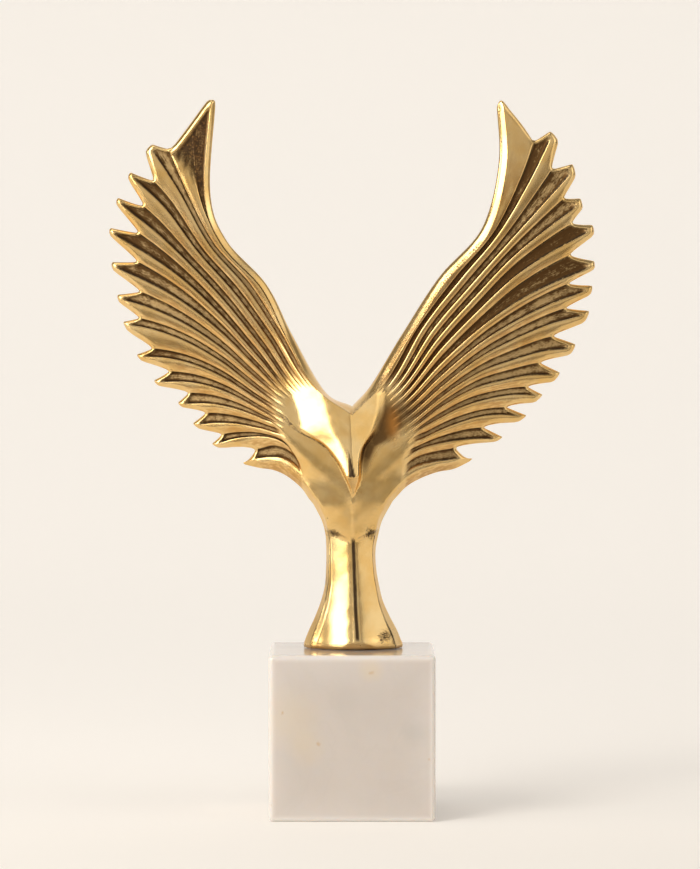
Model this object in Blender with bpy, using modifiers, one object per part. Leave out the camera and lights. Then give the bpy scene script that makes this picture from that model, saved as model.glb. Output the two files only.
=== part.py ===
"""A gilded bird with raised wings, standing on a polished marble cube."""

import bpy
import numpy as np
from mathutils import Matrix

# Sizes in metres
PLINTH_WIDTH = 0.080
PLINTH_HEIGHT = 0.080
PLINTH_EDGE_RADIUS = 0.0022
SEAT_GAP = 0.0003
BIRD_HEIGHT = 0.2668

# The bird is drawn on a sheet, in shares of its height: this many sheet units make the whole bird
SHEET_HEIGHT = 266.8

# Depths of the casting, in sheet units
TIP_DEPTH = 2.9
ROOT_DEPTHS = ((0, 5.5), (7, 8.2), (14, 10.6), (21, 11.6), (28, 11.0))
ROOT_FALL = 2.6
BACK_SHARE = 0.85
WING_SWEEP = 6.0
SPAN = 120.0

# Feather carving, in sheet units and in shares of a feather's width
FEATHERS = 14
CHANNEL_DEPTH = 1.7
BACK_CHANNEL_DEPTH = 0.9
CHANNEL_WALL = 0.22
TIP_HALF_WIDTH = 0.10
CHANNEL_START = 0.17
CHANNEL_FULL = 0.40
TOOTH_ROOT = 0.60
SPIKE_TOP = 0.35

# Edges: how wide they are in sheet units, and the share of the depth left at the outline
LEAD_BEVEL_WIDTH = 4.2
LEAD_BEVEL_SHARE = 0.45
TOOTH_EDGE_WIDTH = 1.4
TOOTH_EDGE_SHARE = 0.40
UNDER_EDGE_SHARE = 0.32
UNDER_EDGE_WIDTHS = ((0, 3.4), (13, 2.4), (27, 1.4), (44, 1.1), (58, 1.6), (71, 3.0), (95, 3.0))

# Stem and foot: height on the sheet against half width and half depth
STEM_WIDTHS = ((0, 24.0), (6, 22.3), (15, 18.2), (27, 14.0), (44, 12.1), (58, 13.6), (71, 19.2))
STEM_DEPTHS = ((0, 12.9), (6, 12.1), (15, 11.0), (27, 9.9), (44, 9.4), (58, 10.4), (71, 11.6))
STEM_SIDE_DEPTH = 0.62
NECK_TOP = 82.0
NECK_BASE = 60.0

# Head and beak: heights on the sheet against the reach in front of the breast and the half widths
HEAD_REACH = ((74.8, 0.0), (84.8, 10.5), (113.5, 0.0))
BEAK_FLAT = ((74.8, 12.0), (84.8, 8.9), (96.0, 6.4), (113.5, 8.0))
HEAD_SIDES = {
    -1: ((74.8, 0.6), (81.8, 3.2), (93.0, 9.2), (101.3, 16.0), (106.0, 25.0), (118.0, 30.0)),
    1: ((74.8, 0.6), (81.8, 3.2), (92.5, 5.2), (98.0, 7.0), (105.6, 12.5), (118.0, 17.0)),
}

# Each wing is a fan of feather lines. A line has its number across the wing, from 0 at the leading edge
# to 28 at the lower edge, and its points outward from the breast: (distance from the middle, height).
# The tips and the notches between them, from the top of the wing down, say where the toothed outline turns:
# (share of the fan's reach, line number there). The first two tips are the corners of the blunt spike.
WINGS = {
    -1: {
        "lines": (
            (0, (
                (0.0, 117.8), (13.2, 125.0), (28.8, 152.0), (41.5, 176.8),
                (61.0, 198.3), (68.8, 221.3), (66.2, 264.9),
            )),
            (3, (
                (0.0, 112.9), (21.8, 129.4), (37.1, 154.1), (52.1, 176.3),
                (69.4, 196.1), (84.1, 222.1), (98.3, 244.0),
            )),
            (7, (
                (0.0, 105.6), (27.2, 124.9), (44.3, 147.0), (61.5, 168.3),
                (79.4, 187.3), (97.1, 203.8), (115.7, 217.8),
            )),
            (13, (
                (0.0, 95.9), (31.4, 119.5), (46.6, 131.7), (62.9, 145.8),
                (80.6, 157.5), (98.0, 165.4), (115.3, 170.4),
            )),
            (19, (
                (0.0, 85.2), (32.1, 108.7), (45.6, 116.9), (59.1, 124.1),
                (71.8, 128.3), (83.4, 129.7), (95.9, 129.1),
            )),
            (23, (
                (0.0, 74.6), (30.1, 100.8), (38.6, 105.5), (47.6, 107.9),
                (57.4, 109.5), (67.5, 109.6), (76.7, 108.3),
            )),
            (27, (
                (0.0, 59.0), (19.5, 78.5), (26.3, 88.1), (33.5, 93.2),
                (40.5, 94.3), (48.4, 93.6), (56.2, 92.2),
            )),
            (28, (
                (0.0, 50.0), (18.8, 70.3), (24.4, 77.8), (31.5, 83.7),
                (38.1, 86.7), (44.8, 87.7), (52.1, 89.4),
            )),
        ),
        "tips": (
            (1.000, 0.00), (1.019, 0.34), (1.000, 3.01), (0.992, 4.97), (1.000, 7.00),
            (1.010, 9.05), (1.005, 11.04), (1.000, 13.00), (1.004, 14.72), (1.005, 16.98),
            (1.000, 19.00), (0.960, 21.02), (0.999, 23.00), (1.032, 25.04), (1.001, 28.00),
        ),
        "notches": (
            (0.958, 2.25), (0.907, 4.13), (0.891, 6.00), (0.874, 7.93), (0.868, 9.92),
            (0.866, 11.97), (0.900, 14.05), (0.893, 16.29), (0.863, 18.10), (0.828, 20.00),
            (0.815, 21.94), (0.869, 24.30), (0.759, 26.49),
        ),
    },
    1: {
        "lines": (
            (0, (
                (0.0, 117.8), (9.4, 128.4), (24.1, 152.5), (42.4, 180.6),
                (62.9, 203.9), (71.1, 235.3), (70.1, 264.9),
            )),
            (3, (
                (0.0, 112.9), (18.9, 129.9), (34.5, 156.3), (52.8, 179.6),
                (70.9, 201.2), (85.5, 225.6), (97.6, 250.1),
            )),
            (7, (
                (0.0, 105.6), (23.3, 125.5), (41.3, 150.3), (59.4, 170.6),
                (77.4, 189.5), (95.6, 204.6), (112.6, 216.8),
            )),
            (13, (
                (0.0, 95.9), (25.7, 115.8), (43.1, 132.5), (61.5, 147.9),
                (80.1, 159.5), (99.9, 168.8), (118.6, 174.6),
            )),
            (19, (
                (0.0, 85.2), (28.7, 106.6), (43.3, 117.6), (59.4, 126.5),
                (74.3, 130.6), (87.8, 132.9), (100.5, 132.5),
            )),
            (23, (
                (0.0, 74.6), (26.2, 97.9), (35.2, 102.7), (47.4, 108.3),
                (61.2, 112.6), (72.9, 113.7), (84.3, 112.4),
            )),
            (27, (
                (0.0, 59.0), (20.2, 79.2), (28.6, 87.1), (38.0, 90.2),
                (46.5, 91.4), (54.0, 92.3), (61.0, 94.0),
            )),
            (28, (
                (0.0, 50.0), (19.7, 71.7), (26.4, 78.7), (33.7, 82.9),
                (41.7, 85.8), (49.6, 87.3), (57.2, 90.9),
            )),
        ),
        "tips": (
            (1.000, 0.00), (1.019, 0.37), (1.000, 3.00), (1.006, 5.21), (1.000, 7.00),
            (1.023, 8.92), (1.007, 11.43), (1.000, 13.01), (1.011, 14.71), (1.004, 16.96),
            (1.000, 19.00), (0.984, 20.93), (0.999, 23.00), (1.019, 25.20), (0.999, 28.00),
        ),
        "notches": (
            (0.945, 2.16), (0.923, 4.00), (0.924, 5.97), (0.927, 7.75), (0.886, 9.78),
            (0.872, 11.91), (0.870, 13.79), (0.845, 15.80), (0.835, 17.91), (0.847, 20.13),
            (0.815, 22.27), (0.761, 24.14), (0.633, 25.80),
        ),
    },
}

LAST_LINE = 2 * FEATHERS
ARMPIT = 1 / 6
WING_COLUMNS = (0.0, 0.075, ARMPIT, 0.23, 0.31, 0.40, 0.49, 0.58, 0.67, 0.76, 0.85, 0.94, 1.0)
STEM_ROWS = 12


def through(points, share):
    """Smooth curve through evenly spaced points, read at shares from 0 to 1 of its length."""
    points = np.asarray(points, float)
    last = len(points) - 1
    place = np.maximum(np.asarray(share, float), 0.0) * last
    index = np.minimum(place.astype(int), last - 1)
    step = (place - index)[..., None]
    ends = np.concatenate([[2 * points[0] - points[1]], points, [2 * points[-1] - points[-2]]])
    a, b, c, d = ends[index], ends[index + 1], ends[index + 2], ends[index + 3]
    return b + 0.5 * step * (c - a + step * (2 * a - 5 * b + 4 * c - d + step * (3 * (b - c) + d - a)))


def read(pairs, place):
    """Value of a short table of (place, value) pairs, with straight stretches between them."""
    places, values = zip(*pairs)
    return np.interp(place, places, values)


def ease(share):
    """Smooth step from 0 to 1."""
    share = np.clip(share, 0.0, 1.0)
    return share * share * (3.0 - 2.0 * share)


def across_lines(knots, values, place):
    """Smooth curve across the feather lines, whose numbers are unevenly spaced."""
    slopes = np.gradient(values, knots, axis=0)
    index = np.clip(np.searchsorted(knots, place, side="right") - 1, 0, len(knots) - 2)
    gap = (knots[index + 1] - knots[index])[:, None]
    t = ((place - knots[index]) / gap[:, 0])[:, None]
    start, end = values[index, np.arange(len(place))], values[index + 1, np.arange(len(place))]
    lean_in, lean_out = slopes[index, np.arange(len(place))], slopes[index + 1, np.arange(len(place))]
    hump = t * t * (3 - 2 * t)
    return start + (end - start) * hump + gap * (lean_in * t * (1 - t) ** 2 - lean_out * t * t * (1 - t))


def fan_point(wing, reach, line):
    """Points of the fan at a reach from 0 to 1 along the feather lines with the given numbers."""
    knots = np.array([number for number, points in wing["lines"]], float)
    curves = np.stack([through(points, reach) for number, points in wing["lines"]])
    return across_lines(knots, curves, line)


def tooth_outline(wing, line):
    """Reach of the outline at each feather line, and the line number to which that line has leant there."""
    places = [0, SPIKE_TOP] + [2 * feather + 1 for feather in range(1, FEATHERS - 1)] + [LAST_LINE]
    corners = [(place, *tip) for place, tip in zip(places, wing["tips"])]
    corners += [(2 * feather + 2, *notch) for feather, notch in enumerate(wing["notches"])]
    place, reach, lean = zip(*sorted(corners))
    return np.interp(line, place, reach), np.interp(line, place, lean)


def wing_sheet(wing, columns, lines):
    """Grid of sheet points of one wing, with the reach and line number of each."""
    line, share = np.meshgrid(lines, columns, indexing="ij")
    line, share = line.ravel(), share.ravel()
    edge, leant = tooth_outline(wing, line)
    outer = np.clip((share - TOOTH_ROOT) / (1 - TOOTH_ROOT), 0, 1)
    reach = share + outer * (edge - 1.0)
    moved = line + (leant - line) * ease((share - CHANNEL_START) / (1 - CHANNEL_START))
    return fan_point(wing, reach, moved), reach, line


def stem_sheet(top_row):
    """Rows of sheet points from the armpits' line down to the foot's underside."""
    top_height = top_row[:, 1]
    shares = np.linspace(0, 1, len(top_row))
    drift = top_row[:, 0] - shares * read(STEM_WIDTHS, top_height)
    rows = []
    for row in range(1, STEM_ROWS + 1):
        fall = row / STEM_ROWS
        height = top_height * (1 - fall)
        rows.append(np.stack([shares * read(STEM_WIDTHS, height) + drift * (1 - fall) ** 2, height], 1))
    return rows


def distance(points, chain):
    """Distance on the sheet from each point to a chain of points."""
    start, step = chain[:-1], np.diff(chain, axis=0)
    gap = points[:, None] - start[None]
    share = np.clip((gap * step).sum(2) / (step * step).sum(1), 0, 1)
    return np.linalg.norm(gap - share[..., None] * step, axis=2).min(1)


def channel_mask(line, reach):
    """1 on a feather channel's floor and 0 on the raised bands, fading out towards the breast."""
    across = line % 2.0
    floor = np.minimum(across, 1.0 - across) / CHANNEL_WALL
    fade = ease((reach - CHANNEL_START) / (CHANNEL_FULL - CHANNEL_START))
    return np.clip(floor, 0, 1) * fade


def stem_depth(points):
    """Half depth of the faceted stem, with its upright ridge in the middle."""
    x, height = abs(points[:, 0]), points[:, 1]
    ridge = read(STEM_DEPTHS, height)
    flat = np.maximum(read(STEM_WIDTHS, height) - read(UNDER_EDGE_WIDTHS, height), 1.0)
    return ridge * (1 - (1 - STEM_SIDE_DEPTH) * np.clip(x / flat, 0, 1))


def head_height(points):
    """Reach of the wedge-shaped head and beak in front of the breast."""
    x, height = points[:, 0], points[:, 1]
    ridge = read(HEAD_REACH, height)
    half = np.where(x < 0, read(HEAD_SIDES[-1], height), read(HEAD_SIDES[1], height))
    return np.minimum(ridge * np.clip(1 - abs(x) / half, 0, 1), read(BEAK_FLAT, height))


def edge_share(gap, width, share):
    """Share of the depth left at a gap from an edge, rising from the given share to the whole."""
    return share + (1 - share) * np.clip(gap / width, 0, 1)


def depths(points, reach, line, chains):
    """Depths of the front and the back of the casting at the given sheet points."""
    height = points[:, 1]
    fan = TIP_DEPTH + (read(ROOT_DEPTHS, line) - TIP_DEPTH) * np.clip(1 - reach, 0, 1) ** ROOT_FALL
    neck = ease((NECK_TOP - height) / (NECK_TOP - NECK_BASE))
    core = fan + (stem_depth(points) - fan) * neck
    lead = edge_share(distance(points, chains["lead"]), LEAD_BEVEL_WIDTH, LEAD_BEVEL_SHARE)
    tooth_gap = np.minimum(distance(points, chains["teeth", -1]), distance(points, chains["teeth", 1]))
    tooth = edge_share(tooth_gap, TOOTH_EDGE_WIDTH, TOOTH_EDGE_SHARE)
    under_gap = np.minimum(distance(points, chains["under", -1]), distance(points, chains["under", 1]))
    under = edge_share(under_gap, read(UNDER_EDGE_WIDTHS, height), UNDER_EDGE_SHARE)
    body = core * np.minimum(np.minimum(lead, tooth), under)
    carved = (lead >= 1) & (height > NECK_BASE)
    channel = channel_mask(line, reach) * ease(tooth_gap / TOOTH_EDGE_WIDTH) * carved
    front = body - CHANNEL_DEPTH * channel + head_height(points)
    back = BACK_SHARE * body - BACK_CHANNEL_DEPTH * channel
    return front, back


def feather_lines():
    """Line numbers at which the wings are cut: both walls and both sides of each tip."""
    lines = []
    for feather in range(FEATHERS):
        start = 2 * feather
        lines += [start, start + CHANNEL_WALL, start + 1 - CHANNEL_WALL]
        lines += [start + 1 - TIP_HALF_WIDTH, start + 1 + TIP_HALF_WIDTH]
    return np.array(lines + [LAST_LINE], float)


def bird_mesh():
    """The whole casting as one closed surface: a carved front, a plainer back and the edge between."""
    lines = feather_lines()
    columns = np.array(WING_COLUMNS)
    inner = WING_COLUMNS.index(ARMPIT) + 1
    points, reach, line, faces = [], [], [], []
    chains = {}
    grids = {}
    for side in (-1, 1):
        sheet, wing_reach, wing_line = wing_sheet(WINGS[side], columns, lines)
        sheet = sheet.reshape(len(lines), len(columns), 2)
        stem = stem_sheet(sheet[-1, :inner])
        chains["teeth", side] = sheet[:, -1] * (side, 1)
        under = np.concatenate([sheet[-1, :inner - 2:-1], [row[-1] for row in stem]])
        chains["under", side] = under * (side, 1)
        grids[side] = (sheet, wing_reach.reshape(sheet.shape[:2]), wing_line.reshape(sheet.shape[:2]), stem)
    lead = [grids[side][0][0] * (side, 1) for side in (-1, 1)]
    chains["lead"] = np.concatenate([lead[0][::-1], lead[1][1:]])

    middle = {}
    for side in (-1, 1):
        sheet, wing_reach, wing_line, stem = grids[side]
        index = []
        for row in range(len(lines) + len(stem)):
            on_wing = row < len(lines)
            row_points = sheet[row] if on_wing else stem[row - len(lines)]
            row_index = []
            for column in range(len(row_points)):
                if column == 0 and row in middle:
                    row_index.append(middle[row])
                    continue
                row_index.append(len(points))
                points.append(row_points[column] * (side, 1))
                reach.append(wing_reach[row, column] if on_wing else wing_reach[-1, column])
                line.append(wing_line[row, column] if on_wing else float(LAST_LINE))
                if column == 0:
                    middle[row] = row_index[0]
            index.append(row_index)
        for upper, lower in zip(index, index[1:]):
            for column in range(min(len(upper), len(lower)) - 1):
                face = (upper[column], lower[column], lower[column + 1], upper[column + 1])
                faces.append(face if side == 1 else face[::-1])

    points = np.array(points)
    front, back = depths(points, np.array(reach), np.array(line), chains)
    sweep = WING_SWEEP * (points[:, 0] / SPAN) ** 2
    count = len(points)
    x, z = points[:, 0], points[:, 1]
    corners = np.concatenate([np.stack([x, sweep - front, z], 1), np.stack([x, sweep + back, z], 1)])

    edges = [edge for face in faces for edge in zip(face, face[1:] + face[:1])]
    paired = set(edges)
    rear = [tuple(count + corner for corner in reversed(face)) for face in faces]
    rim = [(end, start, count + start, count + end) for start, end in edges if (end, start) not in paired]
    return corners, faces + rear + rim


def material(name, colour, metallic, roughness):
    """Plain material of one piece."""
    result = bpy.data.materials.new(name)
    result.use_nodes = True
    shader = result.node_tree.nodes["Principled BSDF"]
    shader.inputs["Base Color"].default_value = (*colour, 1.0)
    shader.inputs["Metallic"].default_value = metallic
    shader.inputs["Roughness"].default_value = roughness
    result.diffuse_color = (*colour, 1.0)
    return result


def make_bird(collection):
    """One casting of wings, head, body, stem and foot, standing on the plinth."""
    corners, faces = bird_mesh()
    mesh = bpy.data.meshes.new("gilded_bird")
    mesh.from_pydata((corners * BIRD_HEIGHT / SHEET_HEIGHT).tolist(), [], faces)
    mesh.validate()
    mesh.shade_smooth()
    mesh.set_sharp_from_angle(angle=np.radians(25))
    bird = bpy.data.objects.new("gilded_bird", mesh)
    bird.location = (0.0, 0.0, PLINTH_HEIGHT + SEAT_GAP)
    mesh.materials.append(material("polished_brass", (0.72, 0.50, 0.24), 1.0, 0.22))
    collection.objects.link(bird)
    return bird


def make_plinth(collection):
    """Marble cube with softly rounded edges."""
    bpy.ops.mesh.primitive_cube_add(size=1.0, location=(0.0, 0.0, PLINTH_HEIGHT / 2))
    plinth = bpy.context.object
    plinth.name = "marble_plinth"
    plinth.data.name = "marble_plinth"
    plinth.data.transform(Matrix.Diagonal((PLINTH_WIDTH, PLINTH_WIDTH, PLINTH_HEIGHT, 1.0)))
    rounding = plinth.modifiers.new("rounded edges", "BEVEL")
    rounding.width = PLINTH_EDGE_RADIUS
    rounding.segments = 3
    plinth.data.materials.append(material("white_marble", (0.86, 0.81, 0.75), 0.0, 0.25))
    for owner in list(plinth.users_collection):
        owner.objects.unlink(plinth)
    collection.objects.link(plinth)
    return plinth


def main():
    for old in list(bpy.data.objects):
        bpy.data.objects.remove(old, do_unlink=True)
    collection = bpy.data.collections.new("bird_sculpture")
    bpy.context.scene.collection.children.link(collection)
    make_plinth(collection)
    make_bird(collection)


main()
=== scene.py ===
import math

import bpy
import numpy as np
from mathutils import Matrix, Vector


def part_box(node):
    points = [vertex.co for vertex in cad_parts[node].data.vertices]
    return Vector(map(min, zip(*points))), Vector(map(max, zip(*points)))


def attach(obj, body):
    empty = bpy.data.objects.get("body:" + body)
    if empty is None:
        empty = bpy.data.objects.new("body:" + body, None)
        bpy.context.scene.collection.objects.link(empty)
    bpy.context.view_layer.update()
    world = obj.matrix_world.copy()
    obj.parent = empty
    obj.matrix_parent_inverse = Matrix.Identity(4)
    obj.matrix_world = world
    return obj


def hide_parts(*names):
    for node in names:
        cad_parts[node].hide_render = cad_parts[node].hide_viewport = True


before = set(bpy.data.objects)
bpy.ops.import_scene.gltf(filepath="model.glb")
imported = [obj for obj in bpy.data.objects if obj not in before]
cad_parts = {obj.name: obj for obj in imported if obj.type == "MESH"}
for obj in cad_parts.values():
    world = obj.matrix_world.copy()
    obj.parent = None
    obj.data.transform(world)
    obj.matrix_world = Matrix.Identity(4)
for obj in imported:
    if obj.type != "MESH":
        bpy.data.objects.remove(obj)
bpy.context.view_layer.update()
print("frame loaded")

# The bird is drawn on an upright sheet in millimetres: (distance from the middle, height over the foot).
# A feather line has its number across the wing, 0 at the leading edge and 28 at the lower edge.
# Tips and notches are (share of the line's reach, line number).
wingShapes = {
    -1: {
        "lines": (
            (0, ((0.0, 117.8), (13.2, 125.0), (28.8, 152.0), (41.5, 176.8),
                 (61.0, 198.3), (68.8, 221.3), (66.2, 264.9))),
            (3, ((0.0, 111.0), (21.8, 129.0), (37.1, 154.1), (52.1, 176.3),
                 (69.4, 196.1), (84.1, 222.1), (98.3, 244.0))),
            (7, ((0.0, 105.0), (27.2, 124.9), (44.3, 147.0), (61.5, 168.3),
                 (79.4, 187.3), (97.1, 203.8), (115.7, 217.8))),
            (13, ((0.0, 95.9), (31.4, 119.5), (46.6, 131.7), (62.9, 145.8),
                  (80.6, 157.5), (98.0, 165.4), (115.3, 170.4))),
            (19, ((0.0, 85.2), (32.1, 108.7), (45.6, 116.9), (59.1, 124.1),
                  (71.8, 128.3), (83.4, 129.7), (95.9, 129.1))),
            (23, ((0.0, 74.6), (30.1, 100.8), (38.6, 105.5), (47.6, 107.9),
                  (57.4, 109.5), (67.5, 109.6), (76.7, 108.3))),
            (27, ((0.0, 59.0), (19.5, 78.5), (26.3, 88.1), (33.5, 93.2),
                  (40.5, 94.3), (48.4, 93.6), (56.2, 92.2))),
            (28, ((0.0, 50.0), (18.8, 70.3), (24.4, 77.8), (31.5, 83.7),
                  (38.1, 86.7), (44.8, 87.7), (52.1, 89.4))),
        ),
        "tips": (
            (0.993, 0.00), (1.011, 0.15), (1.000, 3.01), (0.992, 4.97), (1.000, 7.00),
            (1.010, 9.05), (1.005, 11.04), (1.000, 13.00), (1.004, 14.72), (1.005, 16.98),
            (1.000, 19.00), (0.960, 21.02), (0.999, 23.00), (1.032, 25.04), (1.001, 28.00),
        ),
        "notches": (
            (0.958, 2.25), (0.907, 4.13), (0.891, 6.00), (0.874, 7.93), (0.868, 9.92),
            (0.866, 11.97), (0.900, 14.05), (0.893, 16.29), (0.863, 18.10), (0.828, 20.00),
            (0.815, 21.94), (0.869, 24.30), (0.759, 26.49),
        ),
        "bevelWidths": ((118, 3.4), (140, 3.0), (200, 2.8), (240, 2.4), (265, 2.1)),
        "crease": ((74.8, 0.2), (81.8, -2.7), (93.0, -8.8), (100.0, -15.6), (105.5, -25.3), (118.0, -37.0),
                   (130.0, -45.0)),
        "stemEdges": ((0, 23.3), (1.5, 23.5), (3.7, 22.9), (7.6, 21.4), (15.3, 18.0), (23.1, 15.1),
                      (30.9, 13.2), (38.6, 12.7), (50.3, 12.6), (54.2, 12.8), (61.9, 14.6), (70.3, 18.8)),
    },
    1: {
        "lines": (
            (0, ((0.0, 117.8), (9.4, 128.4), (24.1, 152.5), (42.4, 180.6),
                 (62.9, 203.9), (71.1, 235.3), (70.1, 264.9))),
            (3, ((0.0, 111.0), (18.9, 129.5), (34.5, 156.3), (52.8, 179.6),
                 (70.9, 201.2), (85.5, 225.6), (97.6, 250.1))),
            (7, ((0.0, 105.0), (23.3, 125.5), (41.3, 150.3), (59.4, 170.6),
                 (77.4, 189.5), (95.6, 204.6), (112.6, 216.8))),
            (13, ((0.0, 95.9), (25.7, 115.8), (43.1, 132.5), (61.5, 147.9),
                  (80.1, 159.5), (99.9, 168.8), (118.6, 174.6))),
            (19, ((0.0, 85.2), (28.7, 106.6), (43.3, 117.6), (59.4, 126.5),
                  (74.3, 130.6), (87.8, 132.9), (100.5, 132.5))),
            (23, ((0.0, 74.6), (26.2, 97.9), (35.2, 102.7), (47.4, 108.3),
                  (61.2, 112.6), (72.9, 113.7), (84.3, 112.4))),
            (27, ((0.0, 59.0), (20.2, 79.2), (28.6, 87.1), (38.0, 90.2),
                  (46.5, 91.4), (54.0, 92.3), (61.0, 94.0))),
            (28, ((0.0, 50.0), (19.7, 71.7), (26.4, 78.7), (33.7, 82.9),
                  (41.7, 85.8), (49.6, 87.3), (57.2, 90.9))),
        ),
        "tips": (
            (0.989, 0.00), (1.012, 0.15), (1.000, 3.00), (1.006, 5.21), (1.000, 7.00),
            (1.023, 8.92), (1.007, 11.43), (1.000, 13.01), (1.011, 14.71), (1.004, 16.96),
            (1.000, 19.00), (0.984, 20.93), (0.999, 23.00), (1.019, 25.20), (0.999, 28.00),
        ),
        "notches": (
            (0.945, 2.16), (0.923, 4.00), (0.924, 5.97), (0.927, 7.75), (0.886, 9.78),
            (0.872, 11.91), (0.870, 13.79), (0.845, 15.80), (0.835, 17.91), (0.847, 20.13),
            (0.815, 22.27), (0.761, 24.14), (0.633, 25.80),
        ),
        "bevelWidths": ((118, 3.8), (200, 3.8), (240, 3.7), (265, 3.0)),
        "crease": ((74.8, 1.0), (81.8, 4.0), (92.5, 5.4), (97.9, 7.0), (105.6, 13.4), (114.9, 17.5),
                   (126.5, 19.0)),
        "stemEdges": ((0, 24.5), (1.5, 24.7), (3.7, 23.8), (7.6, 22.3), (15.3, 18.4), (23.1, 15.0),
                      (30.9, 13.1), (38.6, 11.8), (50.3, 11.7), (54.2, 12.5), (61.9, 14.5), (71.7, 19.7)),
    },
}

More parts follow.
